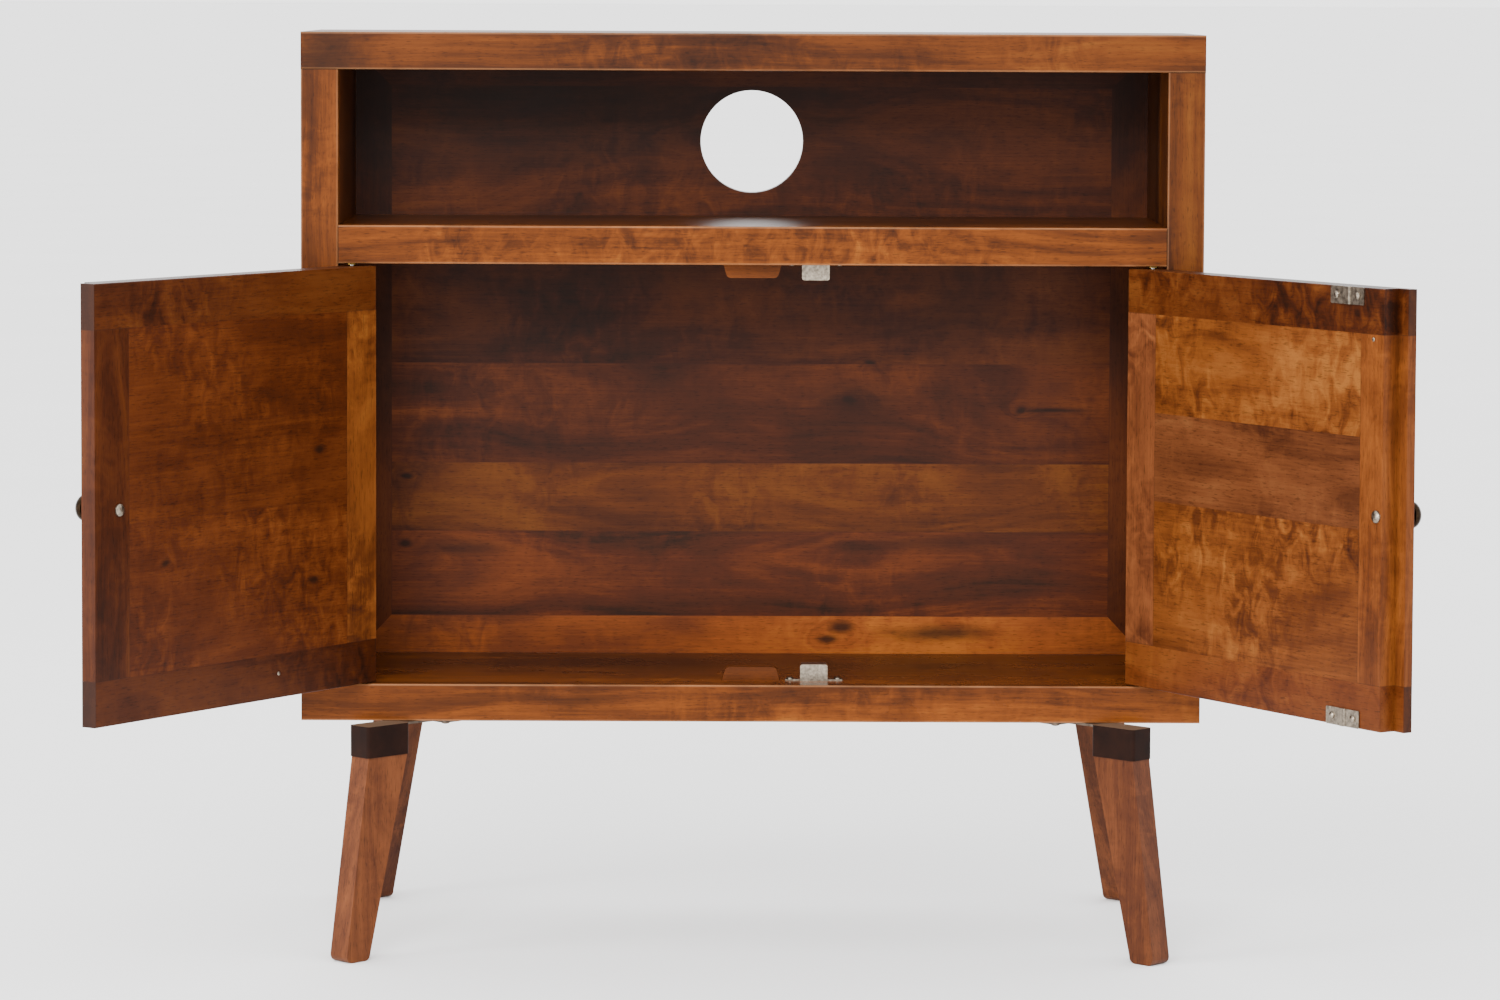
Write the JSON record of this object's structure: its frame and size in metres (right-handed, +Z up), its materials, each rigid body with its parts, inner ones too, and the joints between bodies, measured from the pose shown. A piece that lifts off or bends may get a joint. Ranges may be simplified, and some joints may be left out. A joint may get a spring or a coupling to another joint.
{
  "type": "tv stand with doors",
  "caption": "Compact TV stand: open upper bay with a round cable hole, two half-lapped doors on pivot pins, and splayed legs in steel sleeves.",
  "frame": {"origin": "on the floor, midway across, in the plane of the carcass's front edges", "axes": "+X to the right seen from the front, +Y to the back, +Z up"},
  "size_m": [1.0561, 0.5681, 0.769],
  "materials": {
    "carcass_wood": "satin walnut-stained hardwood",
    "back_wood": "satin walnut-stained hardwood",
    "left_door_wood": "satin walnut-stained hardwood",
    "right_door_wood": "satin walnut-stained hardwood",
    "leg_wood": "satin walnut-stained hardwood",
    "nickel_plate": "bright nickel plate",
    "magnet": "dull black ferrite",
    "pin_steel": "plain steel",
    "bush_brass": "turned brass",
    "antique_bronze": "antique bronze, rubbed at the rim",
    "black_steel": "satin brown-black paint",
    "zinc_plate": "zinc plate"
  },
  "bodies": {
    "cabinet": {"top_board": "carcass_wood", "bottom_board": "carcass_wood", "left_side": "carcass_wood", "right_side": "carcass_wood", "shelf_board": "carcass_wood", "upper_door_stop": "carcass_wood", "lower_door_stop": "carcass_wood", "back_top_rail": "back_wood", "back_bottom_rail": "back_wood", "back_left_stile": "back_wood", "back_right_stile": "back_wood", "back_plank_1": "back_wood", "back_plank_2": "back_wood", "back_plank_3": "back_wood", "back_plank_4": "back_wood", "back_plank_5": "back_wood", "front_left_leg": "leg_wood", "front_right_leg": "leg_wood", "back_left_leg": "leg_wood", "back_right_leg": "leg_wood", "front_left_sleeve": "black_steel", "front_right_sleeve": "black_steel", "back_left_sleeve": "black_steel", "back_right_sleeve": "black_steel", "leg_plates": "zinc_plate", "leg_plate_screws": "zinc_plate", "catch_cases": "nickel_plate", "catch_magnets": "magnet", "catch_screws": "nickel_plate", "pivot_bushes": "bush_brass"},
    "left_door": {"left_top_rail": "left_door_wood", "left_bottom_rail": "left_door_wood", "left_hinge_stile": "left_door_wood", "left_free_stile": "left_door_wood", "left_plank_1": "left_door_wood", "left_plank_2": "left_door_wood", "left_plank_3": "left_door_wood", "left_pivot_pins": "pin_steel", "left_knob": "antique_bronze", "left_knob_screw": "nickel_plate", "left_panel_pin": "nickel_plate"},
    "right_door": {"right_top_rail": "right_door_wood", "right_bottom_rail": "right_door_wood", "right_hinge_stile": "right_door_wood", "right_free_stile": "right_door_wood", "right_plank_1": "right_door_wood", "right_plank_2": "right_door_wood", "right_plank_3": "right_door_wood", "right_pivot_pins": "pin_steel", "right_knob": "antique_bronze", "right_knob_screw": "nickel_plate", "right_panel_pin": "nickel_plate", "strike_plates": "nickel_plate", "strike_screws": "nickel_plate"}
  },
  "joints": [
    {"name": "left_door_hinge", "type": "hinge", "parent": "cabinet", "child": "left_door", "pos_m": [-0.333, 0.006, 0.4015], "axis": [0, 0, -1], "range_deg": [-125, 0.5]},
    {"name": "right_door_hinge", "type": "hinge", "parent": "cabinet", "child": "right_door", "pos_m": [0.333, 0.006, 0.4015], "axis": [0, 0, 1], "range_deg": [-122, 3.5]}
  ]
}
